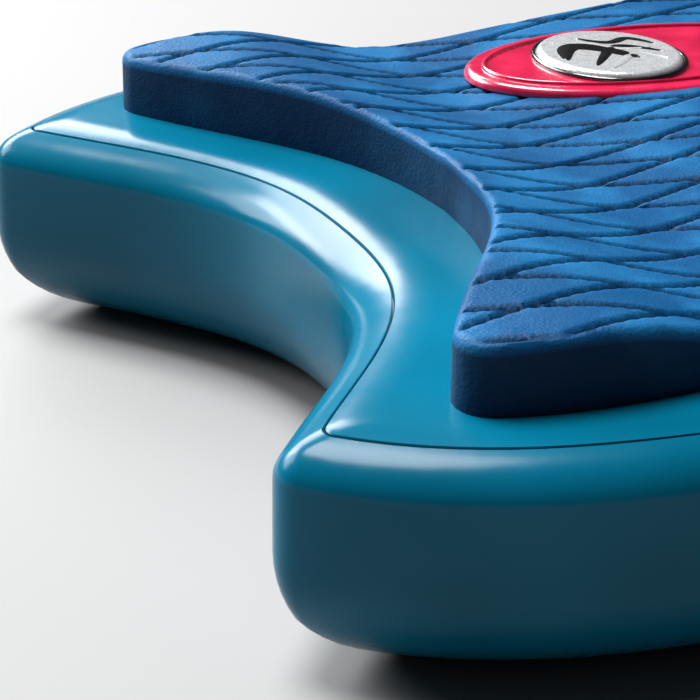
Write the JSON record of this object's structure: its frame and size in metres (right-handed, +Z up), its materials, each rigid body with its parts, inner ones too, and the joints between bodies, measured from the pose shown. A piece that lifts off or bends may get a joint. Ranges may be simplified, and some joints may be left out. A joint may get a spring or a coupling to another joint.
{
  "type": "kneeboard",
  "caption": "Swallow-tail kneeboard: rounded plastic shell on a foam core, grooved kneeling pad with oval badges, swinging padded thigh strap, nose hook and carry handle.",
  "frame": {"origin": "Middle of the bounding box on the flat bottom of the board", "axes": "+X from the swallow tail to the nose, +Y to the left side of the board, +Z up from the bottom to the deck"},
  "size_m": [1.2704, 0.5406, 0.2618],
  "materials": {
    "hull_shell": "glossy",
    "deck_shell": "glossy",
    "foam_core": "closed-cell foam",
    "pad_base": "closed-cell foam",
    "pad_top": "grooved foam",
    "badge_plates": "clear-coated",
    "badge_domes": "metallic",
    "strap_webbing_left": "woven webbing",
    "strap_webbing_right": "woven webbing",
    "loop_patch": "loop pile",
    "hook_patch": "hook tape",
    "pull_tab": "moulded",
    "strap_sleeve": "padded sleeve",
    "strap_end_plates": "brushed",
    "side_inserts": "machined",
    "side_bushes": "smooth",
    "side_washers": "brushed",
    "side_bolts": "polished",
    "nose_inserts": "machined",
    "carry_handle": "woven webbing",
    "handle_caps": "fine texture",
    "handle_screws": "polished",
    "tow_hook": "fine texture",
    "tow_hook_screws": "polished",
    "vent_collar": "smooth",
    "vent_plug": "smooth",
    "vent_ring": "smooth"
  },
  "bodies": {
    "board": {"hull_shell": "hull_shell", "deck_shell": "deck_shell", "foam_core": "foam_core", "pad_base": "pad_base", "pad_top": "pad_top", "badge_plates": "badge_plates", "badge_domes": "badge_domes", "side_inserts": "side_inserts", "side_bushes": "side_bushes", "side_washers": "side_washers", "side_bolts": "side_bolts", "nose_inserts": "nose_inserts", "carry_handle": "carry_handle", "handle_caps": "handle_caps", "handle_screws": "handle_screws", "tow_hook": "tow_hook", "tow_hook_screws": "tow_hook_screws", "vent_collar": "vent_collar"},
    "strap": {"strap_webbing_left": "strap_webbing_left", "strap_webbing_right": "strap_webbing_right", "loop_patch": "loop_patch", "hook_patch": "hook_patch", "pull_tab": "pull_tab", "strap_sleeve": "strap_sleeve", "strap_end_plates": "strap_end_plates"},
    "plug": {"vent_plug": "vent_plug", "vent_ring": "vent_ring"}
  },
  "joints": [
    {"name": "strap_swing", "type": "hinge", "parent": "board", "child": "strap", "pos_m": [0.06, 0, 0.045], "axis": [0, 1, 0], "range_deg": [-45, 45]},
    {"name": "plug_turn", "type": "hinge", "parent": "board", "child": "plug", "pos_m": [0.4, 0.12, 0.08405], "axis": [-0.1008, 0, 0.9949], "range_deg": [0, 90]}
  ]
}
